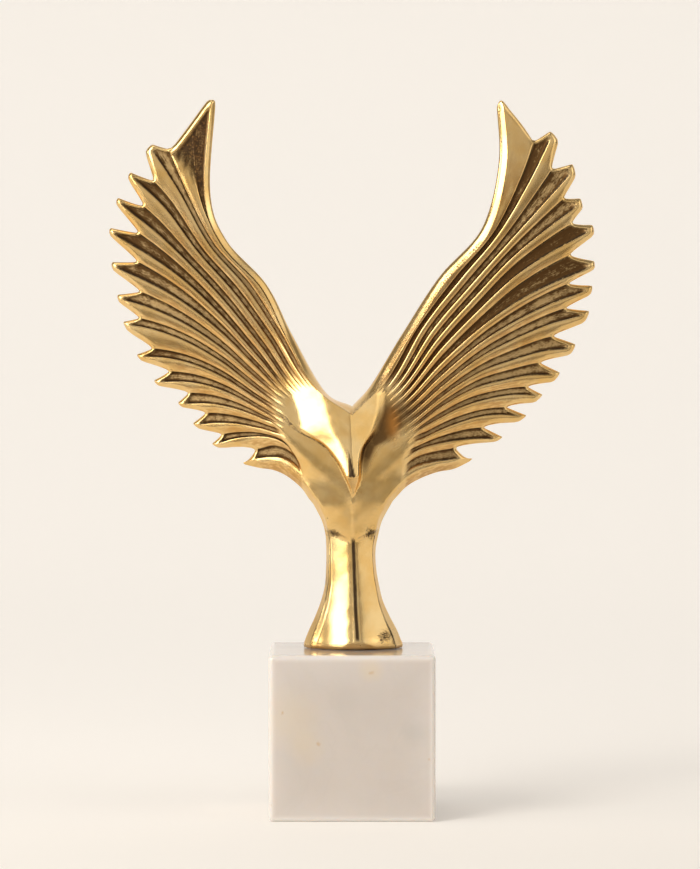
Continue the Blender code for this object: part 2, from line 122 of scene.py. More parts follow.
birdForm = {
    "feathers": 14,
    "spikeTop": 0.15,           # line number of the spike's top
    "toothRoot": 0.60,          # share of a line where the teeth begin to shape it
    "leanStart": 0.17,          # share of a line where it begins to lean toward its tip
    "bevelLimits": (0.2, 1.75),     # least and most lines that the leading bevel takes
    "bevelSpare": 0.12,
    # share in width and length of a tip's round end toward the upper and the lower notch
    "tipCaps": {-1: ((0.28, 0.14), (0.36, 0.15)), 1: ((0.30, 0.09), (0.55, 0.13))},
    # how far the spikes reach, by line number
    "spikeEdges": {
        -1: ((0, 0.9926), (0.01, 1.0015), (0.04, 1.0048), (0.075, 1.0076), (0.11, 1.0096), (0.155, 1.0112),
             (0.20, 1.0126), (0.26, 1.0138), (0.31, 1.0143), (0.36, 1.0143), (0.43, 1.0132), (0.51, 1.0107),
             (0.65, 1.0055), (0.86, 0.9980), (1.10, 0.9893), (1.43, 0.9776), (1.995, 0.9602), (2.25, 0.958)),
        1: ((0, 0.9870), (0.03, 0.9935), (0.06, 0.9985), (0.095, 1.0030), (0.14, 1.0085), (0.205, 1.0125),
            (0.27, 1.0140), (0.345, 1.0137), (0.41, 1.0118), (0.48, 1.0086), (0.58, 1.0035), (0.685, 0.9988),
            (1.23, 0.9781), (1.74, 0.9590), (2.0, 0.9485), (2.16, 0.945)),
    },
    "capShare": 0.9,            # share of a quarter circle that the round end takes
    "notchRound": 0.15,
    "toothBow": 0.30,           # how far the sides of a tooth curve in
    "squeezeStart": 106.0,      # beyond this distance from the middle the tips are drawn in to the frame
    "squeezeSpare": 0.05,
    "tipDepth": 2.9,
    "rootDepths": ((0, 6.2), (7, 8.6), (14, 10.6), (21, 11.6), (28, 11.0)),
    "rootFalls": ((0, 2.9), (12, 2.7), (20, 2.0), (28, 1.5)),
    "backShare": 0.85,
    "flowLengths": (150, 70),   # millimetres that the streaks count along a feather and down the stem
    "sweep": 6.0,
    "span": 120.0,
    "channelDepth": 1.7,
    "backChannelDepth": 0.9,
    "channelStarts": {-1: ((0, 0.13), (8, 0.16), (13, 0.18), (18, 0.16), (24, 0.19), (28, 0.27)),
                      1: ((0, 0.11), (18, 0.12), (24, 0.18), (28, 0.26))},
    "channelRise": 0.10,
    # profile of one feather: place, 0 to 1 across the channel and 1 to 2 across the band, against height
    "section": ((0, 0.88), (0.06, 0.45), (0.15, 0.05), (0.3, 0.0), (0.5, 0.0), (0.7, 0.03), (0.85, 0.16),
                (0.94, 0.75), (1.0, 1.0), (1.08, 1.10), (1.25, 1.16), (1.5, 1.12), (1.8, 1.02), (1.94, 0.95),
                (2.0, 0.88)),
    "slants": (0.10, 2.3, 1.7, 0.6),    # how much the bands' slant varies, and its change from band to band
    "bevelShares": (0.16, 0.40, 0.54, 1.0),     # depth left across the leading bevel
    "toothShare": 0.12,         # depth left at the toothed edge
    "toothRound": 1.9,
    "spikeRound": 1.5,          # what the left spike's edge is rounder by
    "rimWidth": 1.45,
    "rimFall": 0.75,
    "tipSolid": 2.4,            # length of each tip that no channel reaches
    "tipRise": 3.0,
    "underShare": 0.32,
    "underWidths": ((0, 3.4), (13, 2.6), (27, 1.6), (44, 1.3), (58, 1.8), (71, 3.0), (95, 3.0)),
    "stemDepths": ((0, 12.4), (2, 12.8), (6, 12.1), (15, 11.0), (27, 10.1), (44, 9.3), (60, 8.8)),
    "stemSide": 0.62,
    "stemBulge": (1.6, 1.15),   # left, right
    "ridgeLine": ((0, 2.9), (5, 2.9), (17, 2.1), (35, 1.4), (55, 0.7), (67, 0.0)),
    "ridgeFlat": 1.1,
    "neckTop": 84.0,
    "neckBase": 66.0,
    "neckDepths": ((50, 9.5), (60, 10.3), (75, 11.2), (95, 11.6)),
    "neckRound": 0.16,
    # height of the facets' top at the middle, its rise to the sides, its middle and its softness
    "chevron": (52.8, 0.42, 0.4, 2.2),
    "beakRidge": ((74.8, 0.6), (84.3, 0.2), (96.0, -0.8), (113.9, -1.3), (130, -1.8)),
    "ridgeDepths": ((74.8, 11.2), (84.3, 18.2), (88, 17.6), (96, 16.5), (113.9, 14.2), (130, 12.6)),
    # slopes by the ridge and past the bend, and where on the way to the crease the bend and turn down lie
    "headFacets": {-1: (0.11, 0.35, 0.34, 0.84), 1: (0.36, 0.36, 0.5, 0.66)},
    "headBlend": 0.9,
    "headStart": (74.0, 1.5),   # lowest height of the wedge and how softly it begins
    "headBend": 4.0,            # how soft the bend is
    "headReach": (2.2, 0.8),    # where the wedge ends beyond the crease
    "headHeights": (74, 114),   # where its crease is drawn
    "footArch": (2.9, 9.2, 3.6),    # middle, half width and height
    "archSlope": 0.45,
    "footRound": 1.4,
    "footFall": 1.3,
    "footSweep": (6.0, 34, 24, 1.2),    # depth, height, half width and its greatest share
    "spikeFoot": 205,           # height where the spike's hollow and rim begin
    "recessFoot": 208,
    "recessSides": (0.14, 0.08),    # how steep its sides are
    "recessDepth": 1.05,
    "spikeRise": 14,
    "spikeRim": (2.7, 0.8),     # width and fall of the rim around the hollow
    "channelFoot": (62, 12),    # height and rise
    "notchKnob": (1.2, 0.35),   # radius and rise
    "hollow": (19.3, 110.0, 3.0, 7.5, 0.3),     # middle, half sizes and depth of the dent by the head
    # start, rise, end and fall: in shares of the way to the crease, and by height
    "valleyAcross": (0.70, 0.22, 2.1, 0.8),
    "valleyAlong": (80, 16, 127, 14),
    "valleyDepth": 0.55,
    "seam": (0.5, 0.5, 0.3),    # place, half width and rise
    "seamEnds": (54, 74, 3),
    # how fast each wave runs across and up, where it starts, and its share
    "waves": ((0.31, 0.11, 1.3, 1.0), (0.17, -0.29, 4.1, 1.0), (0.53, 0.41, 2.2, 1.0),
              (-0.23, 0.62, 0.7, 1.0), (0.9, -0.8, 0.0, 0.6)),
    "waveHeight": 0.013,
    "waveEdge": 2.0,
    "backWave": 0.7,
    # dark marks on the stem's ridge, the beak, the arch, the chevron and the right leading edge
    "ridgeMark": (0.2, 1.15, 0.5),
    "ridgeMarkEnds": (3.5, 54.5, 2),
    "beakMark": ((84.6, 96.4), (-1.5, -1.9), (1.4, -1.4), 0.5),
    "beakMarkEnds": (84, 97),
    "archMark": (0.7, 0.7, 0.6, 9),
    "chevronMark": (0.7, 0.35, 60),
    "leadMark": (0.7, (0.4, 0.2), (1.35, 0.25), (205, 10)),
    # how far the left spike's hollow reaches across its feather
    "recessEdge": ((208, -0.2), (212, 0.0), (215, 0.13), (221, 0.38), (229, 0.55), (234, 0.69), (240, 0.95),
                   (243, 1.5)),
    # how dark each feather's channel is, from the leading edge down
    "floorTones": {-1: (0.5, 0.15, 0.6, 0.6, 0.7, 0.5, 0.3, 0.35, 0.55, 0.5, 0.45, 0.5, 0.5, 0.5),
                   1: (0.5, 0.85, 0.35, 0.4, 1.0, 0.7, 0.35, 0.35, 0.3, 0.25, 0.3, 0.35, 0.45, 0.55)},
    # patches of patina: middle, half sizes and strength
    "blots": ((-9.0, 55.8, 4.2, 3.4, 0.95), (9.0, 56.5, 3.4, 4.4, 1.0), (16.0, 6.2, 4.8, 4.4, 1.0),
              (15.5, 84.0, 3.0, 6.0, 0.6), (-12.2, 30.0, 1.3, 16.0, 0.75), (9.5, 70.0, 2.6, 4.0, 0.5),
              (21.5, 100.0, 3.4, 9.0, 0.6), (0.4, 47.0, 1.6, 12.0, 0.5)),
}
lastLine = 2 * birdForm["feathers"]
armpit = 1 / 6      # share of a feather line that lies over the stem
farAside = 9        # stands for a place beyond every crease


def ease(share):
    share = np.clip(share, 0.0, 1.0)
    return share * share * (3.0 - 2.0 * share)


def readTable(pairs, place):
    places, values = zip(*pairs)
    return np.interp(place, places, values)


def readSmooth(pairs, place):
    knots, values = np.array(pairs, float).T
    slopes = np.gradient(values, knots)
    index = np.clip(np.searchsorted(knots, place, side="right") - 1, 0, len(knots) - 2)
    gap = knots[index + 1] - knots[index]
    t = np.clip((place - knots[index]) / gap, 0, 1)
    hump = t * t * (3 - 2 * t)
    bend = gap * (slopes[index] * t * (1 - t) ** 2 - slopes[index + 1] * t * t * (1 - t))
    return values[index] + (values[index + 1] - values[index]) * hump + bend


def curveThrough(points, share):
    points = np.asarray(points, float)
    last = len(points) - 1
    place = np.maximum(np.asarray(share, float), 0.0) * last
    index = np.minimum(place.astype(int), last - 1)
    step = (place - index)[..., None]
    ends = np.concatenate([[2 * points[0] - points[1]], points, [2 * points[-1] - points[-2]]])
    a, b, c, d = ends[index], ends[index + 1], ends[index + 2], ends[index + 3]
    return b + 0.5 * step * (c - a + step * (2 * a - 5 * b + 4 * c - d + step * (3 * (b - c) + d - a)))


def fanPoint(wing, reach, line):
    knots = np.array([number for number, points in wing["lines"]], float)
    curves = np.stack([curveThrough(points, reach) for number, points in wing["lines"]])
    slopes = np.gradient(curves, knots, axis=0)
    index = np.clip(np.searchsorted(knots, line, side="right") - 1, 0, len(knots) - 2)
    gap = (knots[index + 1] - knots[index])[:, None]
    t = ((line - knots[index]) / gap[:, 0])[:, None]
    spot = np.arange(len(line))
    hump = t * t * (3 - 2 * t)
    bend = gap * (slopes[index, spot] * t * (1 - t) ** 2 - slopes[index + 1, spot] * t * t * (1 - t))
    return curves[index, spot] + (curves[index + 1, spot] - curves[index, spot]) * hump + bend


def roundTip(share, width, length):
    # way from a tip to its notch: a round cap, a side that leaves it smoothly and a rounded corner
    most = birdForm["capShare"]
    cap = length * (1 - np.sqrt(1 - np.clip(share / width, 0, most) ** 2))
    last = length * (1 - math.sqrt(1 - most ** 2))
    run = np.clip((share - most * width) / (1 - most * width), 0, 1)
    straight = last + (1 - last) * run * (1 + birdForm["toothBow"] * (1 - run))
    corner = birdForm["notchRound"]
    straight = straight - corner * np.clip((share - 1 + corner) / corner, 0, 1) ** 2 * 0.5
    return np.where(share < most * width, cap, straight)


def toothOutline(wing, hand, line):
    feathers = birdForm["feathers"]
    places = [0, birdForm["spikeTop"]] + [2 * feather + 1 for feather in range(1, feathers - 1)] + [lastLine]
    corners = [(place, *tip, 1) for place, tip in zip(places, wing["tips"])]
    corners += [(2 * feather + 2, *notch, 0) for feather, notch in enumerate(wing["notches"])]
    place, reach, lean, isTip = np.array(sorted(corners), float).T
    index = np.clip(np.searchsorted(place, line, side="right") - 1, 0, len(place) - 2)
    share = (line - place[index]) / (place[index + 1] - place[index])
    fromTip = np.where(isTip[index] > 0, share, 1 - share)
    upper, lower = birdForm["tipCaps"][hand]
    bent = np.where(isTip[index] > 0, roundTip(fromTip, *lower), 1 - roundTip(fromTip, *upper))
    edge = reach[index] + (reach[index + 1] - reach[index]) * bent
    leant = lean[index] + (lean[index + 1] - lean[index]) * share
    return np.where(line < 2, readTable(birdForm["spikeEdges"][hand], leant), edge), leant


def bevelLines(wing, columns):
    # line number at which the leading bevel ends, for each column
    start = fanPoint(wing, columns, np.zeros(len(columns)))
    inward = fanPoint(wing, columns, np.ones(len(columns))) - start
    along = np.gradient(start, axis=0)
    along /= np.linalg.norm(along, axis=1)[:, None]
    step = abs(inward[:, 0] * along[:, 1] - inward[:, 1] * along[:, 0])
    return np.clip(readTable(wing["bevelWidths"], start[:, 1]) / step, *birdForm["bevelLimits"])


def squeezeTips(points):
    # draws in the farthest tips so that they end just inside the frame
    start = birdForm["squeezeStart"]
    limit = min(abs(corner[0]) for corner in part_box("gilded_bird")) * 1000 - birdForm["squeezeSpare"]
    far = np.maximum(points[:, 0] - start, 0)
    if far.max() > limit - start:
        points[:, 0] += far * ((limit - start) / far.max() - 1)


def wingSheet(wing, hand, columns, rows):
    row, share = (grid.ravel() for grid in np.meshgrid(rows, columns, indexing="ij"))
    bevel = np.tile(bevelLines(wing, columns), len(rows))
    middle = np.maximum(1.0, bevel + birdForm["bevelSpare"])
    line = np.select(
        [row < 1, row < 1.5, row < 2],
        [row * bevel, bevel + (row - 1) * 2 * (middle - bevel), middle + (row - 1.5) * 2 * (2 - middle)], row)
    edge, leant = toothOutline(wing, hand, line)
    root, start = birdForm["toothRoot"], birdForm["leanStart"]
    reach = share + np.clip((share - root) / (1 - root), 0, 1) * (edge - 1.0)
    moved = line + (leant - line) * ease((share - start) / (1 - start))
    shape = (len(rows), len(columns))
    points = fanPoint(wing, reach, moved)
    squeezeTips(points)
    return points.reshape(*shape, 2), reach.reshape(shape), row.reshape(shape)


def stemSheet(wing, topRow, falls):
    shares = topRow[:, 0] / topRow[-1, 0]
    drift = topRow[:, 0] - shares * readSmooth(wing["stemEdges"], topRow[:, 1])
    sheet = []
    for fall in falls:
        height = topRow[:, 1] * (1 - fall)
        across = shares * readSmooth(wing["stemEdges"], height) + drift * (1 - fall) ** 2
        sheet.append(np.stack([across, height], 1))
    return np.array(sheet)


def distanceTo(points, chain):
    start, step = chain[:-1], np.diff(chain, axis=0)
    length = np.maximum((step * step).sum(1), 1e-9)
    nearest = []
    for part in np.array_split(points, max(1, len(points) // 4000)):
        gap = part[:, None] - start[None]
        share = np.clip((gap * step).sum(2) / length, 0, 1)
        nearest.append(np.linalg.norm(gap - share[..., None] * step, axis=2).min(1))
    return np.concatenate(nearest)


def sectionPlace(row, side):
    # place in the feather's section: 0 to 1 across a channel, 1 to 2 across the band under it
    if side < 0:
        return np.select([row < 1, row < 2], [(row - 1) * 0.5, (row - 1) * 2], row)
    return np.where(row < 2, 1 + row * 0.5, row)


def sectionHeight(place, feather, side):
    # no two bands lie at quite the same slant
    t = np.mod(place, 2.0)
    height = np.interp(t, *zip(*birdForm["section"]))
    most, perFeather, perSide, start = birdForm["slants"]
    slant = most * np.sin(perFeather * feather + perSide * side + start)
    return height + slant * np.clip(t - 1, 0, 1) * np.clip(2 - t, 0, 1) * 4 * (t - 1.4)


def stemHeight(x, height, width, under):
    form = birdForm
    ridge = readSmooth(form["stemDepths"], height)
    off = np.maximum(abs(x - readTable(form["ridgeLine"], height)) - form["ridgeFlat"], 0)
    flat = np.maximum(width - under - form["ridgeFlat"], 1.0)
    bulge = np.where(x < 0, *form["stemBulge"])
    return ridge * (1 - (1 - form["stemSide"]) * np.clip(off / flat, 0, 1) ** bulge)


def neckHeight(x, height, width):
    # round above the chevron, flat facets below it
    form = birdForm
    plump = readSmooth(form["neckDepths"], height)
    plump = plump * (1 - form["neckRound"] * np.clip(abs(x) / width, 0, 1) ** 2)
    crest, rise, middle, softness = form["chevron"]
    gap = height - crest - rise * abs(x - middle)
    facets = stemHeight(x, height, width, readTable(form["underWidths"], height))
    share = ease(0.5 - gap / softness)
    return plump + (facets - plump) * share, gap


def headFront(x, height, body):
    # depth with the wedge of the head laid over the body, and how far across its side a point lies
    form = birdForm
    ridge = readTable(form["beakRidge"], height)
    side = np.where(x < ridge, -1, 1)
    crease = np.where(side < 0, *(readSmooth(wingShapes[hand]["crease"], height) for hand in (-1, 1)))
    off = (x - ridge) / (crease - ridge)
    inner, outer, bend, turn = np.where(side[:, None] < 0, form["headFacets"][-1], form["headFacets"][1]).T
    past = (off - bend) * abs(crease - ridge)
    past = (past + np.sqrt(past ** 2 + form["headBend"])) / 2
    plane = readTable(form["ridgeDepths"], height) - inner * abs(x - ridge) - (outer - inner) * past
    lowest, softness = form["headStart"]
    share = (1 - ease((off - turn) / (1 - turn))) * ease((height - lowest) / softness)
    raised = (plane - body + np.sqrt((plane - body) ** 2 + form["headBlend"] ** 2)) / 2
    farthest, fall = form["headReach"]
    share = share * ease((farthest - off) / fall)
    return body + raised * share, off * side


def roundProfile(gap, width, share):
    u = np.clip(gap / width, 0, 1)
    return share + (1 - share) * np.sqrt(1 - (1 - u) ** 2)


def castWave(x, z):
    # slow unevenness of a hand finished casting, in millimetres
    wave = sum(share * np.sin(x * across + z * up + start) for across, up, start, share in birdForm["waves"])
    return birdForm["waveHeight"] * wave


def gridSteps():
    # where the mesh lines run: line numbers, shares of a feather line and shares of the way down the stem
    rows = [0, 0.07, 0.15, 0.3, 0.5, 0.7, 0.85, 0.93]
    rows += [1.0, 1.04, 1.1, 1.2, 1.3, 1.4, 1.46, 1.5, 1.56, 1.7, 1.85, 1.95]
    across = [0, 0.06, 0.15, 0.3, 0.5, 0.66, 0.76, 0.84, 0.92]
    across += [1.0, 1.07, 1.16, 1.27, 1.4, 1.52, 1.7, 1.86, 1.95]
    for feather in range(1, birdForm["feathers"]):
        rows += [2 * feather + part for part in across]
    inner = np.concatenate([[0, .02, .04, .06, .08], np.linspace(0.1, 1, 31)]) * armpit
    outer = 1 - np.array((0, .0018, .004, .0065, .0095, .013, .017, .022, .028, .035, .044, .055, .07, .087))
    columns = np.concatenate([inner, np.linspace(armpit, 0.9, 38)[1:], outer[::-1]])
    falls = 1 - (1 - np.linspace(0, 1, 71)[1:]) ** 1.25
    return np.array(rows + [lastLine], float), columns, len(inner), falls


def drawGrids(rows, columns, innerCount, falls):
    # each wing and half stem as a grid of points, with the lines that they end on
    grids, chains = {}, {}
    for side, wing in wingShapes.items():
        sheet, reach, row = wingSheet(wing, side, columns, rows)
        stem = stemSheet(wing, sheet[-1, :innerCount], falls)
        mirror = np.array((side, 1.0))
        chains["teeth", side] = sheet[:, -1] * mirror
        chains["under", side] = np.concatenate([sheet[-1, :innerCount - 2:-1], stem[:, -1]]) * mirror
        grids[side] = (sheet * mirror, reach, row, stem * mirror)
    return grids, chains


def joinGrids(grids, rows):
    # one list of points and faces for the front, in which the two sides share their middle line
    points, reach, row, sides, onStem, faces, middle = [], [], [], [], [], [], {}
    for side in (-1, 1):
        sheet, wingReach, wingRow, stem = grids[side]
        index = []
        for number in range(len(rows) + len(stem)):
            onWing = number < len(rows)
            line = sheet[number] if onWing else stem[number - len(rows)]
            lineIndex = []
            for column in range(len(line)):
                if column == 0 and number in middle:
                    lineIndex.append(middle[number])
                    continue
                lineIndex.append(len(points))
                points.append(line[column])
                reach.append(wingReach[number, column] if onWing else wingReach[-1, column])
                row.append(wingRow[number, column] if onWing else float(lastLine))
                sides.append(side)
                onStem.append(0.0 if onWing else 1.0)
                if column == 0:
                    middle[number] = lineIndex[0]
            index.append(lineIndex)
        for upper, lower in zip(index, index[1:]):
            for column in range(min(len(upper), len(lower)) - 1):
                face = (upper[column], lower[column], lower[column + 1], upper[column + 1])
                faces.append(face if side == 1 else face[::-1])
    return *(np.array(values) for values in (points, reach, row, sides, onStem)), faces


def gapToEnds(points, grids, rows, first):
    # distance to the nearest end of every second feather line, from the first one on
    picked = np.isin(rows, np.arange(first, lastLine, 2))
    ends = np.concatenate([grids[side][0][:, -1][picked] for side in (-1, 1)])
    return np.linalg.norm(points[:, None] - ends[None], axis=2).min(1)


def gapToChain(points, chains, name):
    return np.minimum(*(distanceTo(points, chains[name, side]) for side in (-1, 1)))


def shellFaces(faces, count):
    # the rear is the front turned round, and a strip joins them along every open edge
    edges = [edge for face in faces for edge in zip(face, face[1:] + face[:1])]
    paired = set(edges)
    rear = [tuple(count + corner for corner in reversed(face)) for face in faces]
    strip = [(end, start, count + start, count + end) for start, end in edges if (end, start) not in paired]
    return faces + rear + strip


def darkMarks(x, height):
    form = birdForm
    shift, halfWidth, softness = form["ridgeMark"]
    lowest, highest, fade = form["ridgeMarkEnds"]
    gap = abs(x - readTable(form["ridgeLine"], height) + shift)
    ridge = ease((halfWidth - gap) / softness)
    ridge = ridge * ease((highest - height) / fade) * ease((height - lowest) / fade)
    heights, leftEdge, rightEdge, softness = form["beakMark"]
    lowest, highest = form["beakMarkEnds"]
    leftX, rightX = np.interp(height, heights, leftEdge), np.interp(height, heights, rightEdge)
    beak = ease((x - leftX) / softness + 0.5) * ease((rightX - x) / softness + 0.5)
    return np.maximum(ridge, beak * (height > lowest) * (height < highest))


def patinaBlots(x, height, row, left, onStem, chevronGap):
    form = birdForm
    archMiddle, archHalf, archTop = form["footArch"]
    rise, halfWidth, strength, reach = form["archMark"]
    arch = archTop * (1 - ((x - archMiddle) / archHalf) ** 2)
    archLine = np.exp(-((height + rise - arch) / halfWidth) ** 2) * onStem
    width, dark, top = form["chevronMark"]
    blots = np.exp(-(chevronGap / width) ** 2) * dark * (height < top)
    blots = blots + strength * archLine * (abs(x - archMiddle) < reach)
    dark, (start, rise), (end, fall), (top, fade) = form["leadMark"]
    lead = dark * ease((row - start) / rise) * ease((end - row) / fall) * ~left * ease((top - height) / fade)
    blots = blots + lead
    for middleX, middleZ, halfX, halfZ, strength in form["blots"]:
        blots = blots + strength * np.exp(-((x - middleX) / halfX) ** 2 - ((height - middleZ) / halfZ) ** 2)
    return blots


def buildBirdMesh():
    form = birdForm
    rows, columns, innerCount, falls = gridSteps()
    grids, chains = drawGrids(rows, columns, innerCount, falls)
    points, reach, row, sides, onStem, faces = joinGrids(grids, rows)
    x, height = points[:, 0], points[:, 1]
    left = sides < 0
    place = np.where(left, sectionPlace(row, -1), sectionPlace(row, 1))
    toothGap, underGap = gapToChain(points, chains, "teeth"), gapToChain(points, chains, "under")
    tipGap, notchGap = gapToEnds(points, grids, rows, 3), gapToEnds(points, grids, rows, 2)

    # the plain body: wings, neck, stem and head
    fan = form["tipDepth"] + (readSmooth(form["rootDepths"], row) - form["tipDepth"]) \
        * np.clip(1 - reach, 0, 1) ** readSmooth(form["rootFalls"], row)
    underWidth = readTable(form["underWidths"], height)
    width = np.where(left, *(readSmooth(wingShapes[hand]["stemEdges"], height) for hand in (-1, 1)))
    neck = ease((form["neckTop"] - height) / (form["neckTop"] - form["neckBase"]))
    stalk, chevronGap = neckHeight(x, height, width)
    plain = fan + (stalk - fan) * neck
    core, headSide = headFront(x, height, plain)
    bevel = np.interp(row, (0, 0.15, 0.3, 1), form["bevelShares"])
    onSpike = left & (row < 2)
    rounder = form["spikeRound"] * onSpike * ease((height - form["recessFoot"]) / form["spikeRise"])
    tooth = roundProfile(toothGap, form["toothRound"] + rounder, form["toothShare"])
    under = form["underShare"] + (1 - form["underShare"]) * np.clip(underGap / underWidth, 0, 1)
    edge = np.minimum(np.minimum(bevel, tooth), under)

    # the channels and the hollow of the left spike
    starts = np.where(left, *(readTable(form["channelStarts"][hand], row) for hand in (-1, 1)))
    lowest, rise = form["channelFoot"]
    fade = ease((reach - starts) / form["channelRise"])
    fade = fade * ease((height - lowest) / rise) * (1 - onStem)
    rim = ease((toothGap - form["rimWidth"]) / form["rimFall"])
    rim = rim * ease((tipGap - form["tipSolid"]) / form["tipRise"])
    rimWidth, rimFall = form["spikeRim"]
    spikeRim = ease((toothGap - rimWidth) / rimFall)
    carve = np.where(place < 0, 0.0, fade * rim)
    carve = carve * np.where(onSpike & (height > form["spikeFoot"]), spikeRim, 1)
    outerSide, innerSide = form["recessSides"]
    recess = ease((readTable(form["recessEdge"], height) + 1 - row) / outerSide + 0.5) * left
    recess = recess * (height > form["recessFoot"]) * ease((row - 1.0) / innerSide) * spikeRim
    relief = (1 - sectionHeight(place, np.floor(row / 2), sides)) * carve * (1 - recess)
    relief = relief + recess * form["recessDepth"]

    # the smaller forms
    radius, rise = form["notchKnob"]
    knob = np.exp(-(notchGap / radius) ** 2) * rise
    middleX, middleZ, halfX, halfZ, hollowDepth = form["hollow"]
    hollow = np.exp(-(((x - middleX) / halfX) ** 2 + ((height - middleZ) / halfZ) ** 2))
    start, rise, end, fall = form["valleyAcross"]
    valley = ease((headSide - start) / rise) * ease((end - headSide) / fall)
    start, rise, end, fall = form["valleyAlong"]
    valley = valley * ease((height - start) / rise) * ease((end - height) / fall)
    archMiddle, archHalf, archTop = form["footArch"]
    arch = np.maximum(archTop * (1 - ((x - archMiddle) / archHalf) ** 2) - height, 0)
    arch = arch * form["archSlope"] * onStem
    seamPlace, seamHalf, seamRise = form["seam"]
    seamFoot, seamTop, fade = form["seamEnds"]
    seam = seamRise * np.exp(-((x - seamPlace) / seamHalf) ** 2)
    seam = seam * ease((seamTop - height) / fade) * ease((height - seamFoot) / fade)
    footRound = form["footFall"] * np.clip(1 - height / form["footRound"], 0, 1) ** 2 * onStem
    wave = castWave(x, height) * ease(np.minimum(toothGap, underGap) / form["waveEdge"])

    front = core * edge - form["channelDepth"] * relief + knob - hollowDepth * hollow
    front = front - form["valleyDepth"] * valley - footRound - arch + seam + wave
    back = form["backShare"] * plain * edge
    back = back - form["backChannelDepth"] * relief - footRound - form["backWave"] * wave
    sweep = form["sweep"] * (x / form["span"]) ** 2
    depth, top, halfWidth, most = form["footSweep"]
    sweep = sweep + depth * ease(1 - height / top) * np.clip(abs(x) / halfWidth, 0, most) ** 2 * onStem
    corners = np.concatenate([np.stack([x, sweep + depth, height], 1) for depth in (-front, back)])

    feather = np.clip(place // 2, 0, form["feathers"] - 1).astype(int)
    floorTone = np.where(left, *(np.array(form["floorTones"][hand])[feather] for hand in (-1, 1)))
    lowest, highest = form["headHeights"]
    creaseSide = np.where((height > lowest) & (height < highest), headSide, farAside)
    blots = patinaBlots(x, height, row, left, onStem, chevronGap)
    onFeather, downStem = form["flowLengths"]
    masks = {
        "flow": np.stack([reach * onFeather + onStem * (downStem - height), place, sides.astype(float)], 1),
        "carve": np.stack([carve, 1 - rim, recess], 1),
        "gaps": np.stack([floorTone, underGap / underWidth, creaseSide], 1),
        # dark marks, then the masks for the painted reflection in the dent and the painted shade in the
        # valley
        "spots": np.stack([darkMarks(x, height), hollow, valley], 1),
        "stations": np.stack([reach, height, blots], 1),
    }
    return corners, shellFaces(faces, len(points)), masks


class Wire:
    # a shader socket that can be used in plain sums
    def __init__(self, tree, socket=None):
        self.tree = tree
        self.socket = socket

    def make(self, kind, settings=None, inputs=None, output=0):
        node = self.tree.nodes.new(kind)
        for name, value in (settings or {}).items():
            setattr(node, name, value)
        for name, value in (inputs or {}).items():
            if isinstance(value, Wire):
                self.tree.links.new(value.socket, node.inputs[name])
            else:
                node.inputs[name].default_value = value
        return Wire(self.tree, node.outputs[output]) if node.outputs else None

    def sum(self, operation, *terms):
        return self.make("ShaderNodeMath", {"operation": operation}, dict(enumerate(terms)))

    def __add__(self, other):
        return self.sum("ADD", self, other)

    __radd__ = __add__

    def __mul__(self, other):
        return self.sum("MULTIPLY", self, other)

    __rmul__ = __mul__

    def __sub__(self, other):
        return self.sum("SUBTRACT", self, other)

    def __rsub__(self, other):
        return self.sum("SUBTRACT", other, self)

    def smooth(self, start, end):
        # 0 before start and 1 after end, or the other way round where end is the lower
        turned = start > end
        low, high = min(start, end), max(start, end)
        result = self.make("ShaderNodeMapRange", {"interpolation_type": "SMOOTHSTEP"},
                           {"Value": self, "From Min": low, "From Max": high})
        return 1 - result if turned else result

    def most(self, other):
        return self.sum("MAXIMUM", self, other)

    def least(self, other):
        return self.sum("MINIMUM", self, other)

    def attribute(self, name):
        return self.make("ShaderNodeAttribute", {"attribute_name": name}, output="Vector")

    def parts(self):
        split = self.make("ShaderNodeSeparateXYZ", inputs={"Vector": self})
        return [Wire(self.tree, socket) for socket in split.socket.node.outputs]

    def scaled(self, factors):
        return self.make("ShaderNodeVectorMath", {"operation": "MULTIPLY"}, {0: self, 1: factors})

    def noise(self, scale, detail=3.0, roughness=0.5, distortion=0.0):
        return self.make("ShaderNodeTexNoise", inputs={
            "Vector": self, "Scale": scale, "Detail": detail, "Roughness": roughness,
            "Distortion": distortion})

    def blend(self, first, second):
        # colour mix, self is the share of the second
        return self.make("ShaderNodeMix", {"data_type": "RGBA", "clamp_factor": True},
                         {0: self, 6: first, 7: second}, output=2)


def newMaterial(name):
    surface = bpy.data.materials.new(name)
    surface.use_nodes = True
    surface.node_tree.nodes.clear()
    return surface, Wire(surface.node_tree)


def finishMaterial(wire, inputs):
    shader = wire.make("ShaderNodeBsdfPrincipled", inputs=inputs)
    wire.make("ShaderNodeOutputMaterial", inputs={"Surface": shader})


goldFinish = {
    "gold": (0.78, 0.49, 0.165, 1.0),
    "paleGold": (0.84, 0.60, 0.28, 1.0),
    # the caramel colour is a painted reflection along the middle of the bands
    "caramelReflection": (0.48, 0.23, 0.06, 1.0),
    "channel": (0.43, 0.29, 0.13, 1.0),
    "umber": (0.10, 0.050, 0.017, 1.0),
    "patina": (0.050, 0.028, 0.011, 1.0),
    # the amber colour is painted reflection: in the dent by the head, the spike's hollow and the wall lines
    # near the roots
    "amberReflection": (0.42, 0.18, 0.04, 1.0),
    "polishedRoughness": 0.21,
    "channelRoughness": 0.44,
    "bumpStrength": 0.5,
    "bumpDepth": 0.0004,
    # scale, detail and roughness of each noise
    "grain": (1.05, 4.0, 0.68),
    "coarse": (0.25, 3.0, 0.55),
    "cloud": (0.06, 2.0, 0.5),
    "streak": (2.0, 4.0, 0.65),
    "brushed": (2.0, 3.0, 0.62),
    "speckle": (2.3, 3.0, 0.7),
    "pits": (0.9, 2.0, 0.5),
    # how the streaks are drawn out: along a feather, across it and from side to side
    "streakStretch": (0.05, 2.6, 40),
    "brushStretch": (4.2, 2.3, 1.0),
}


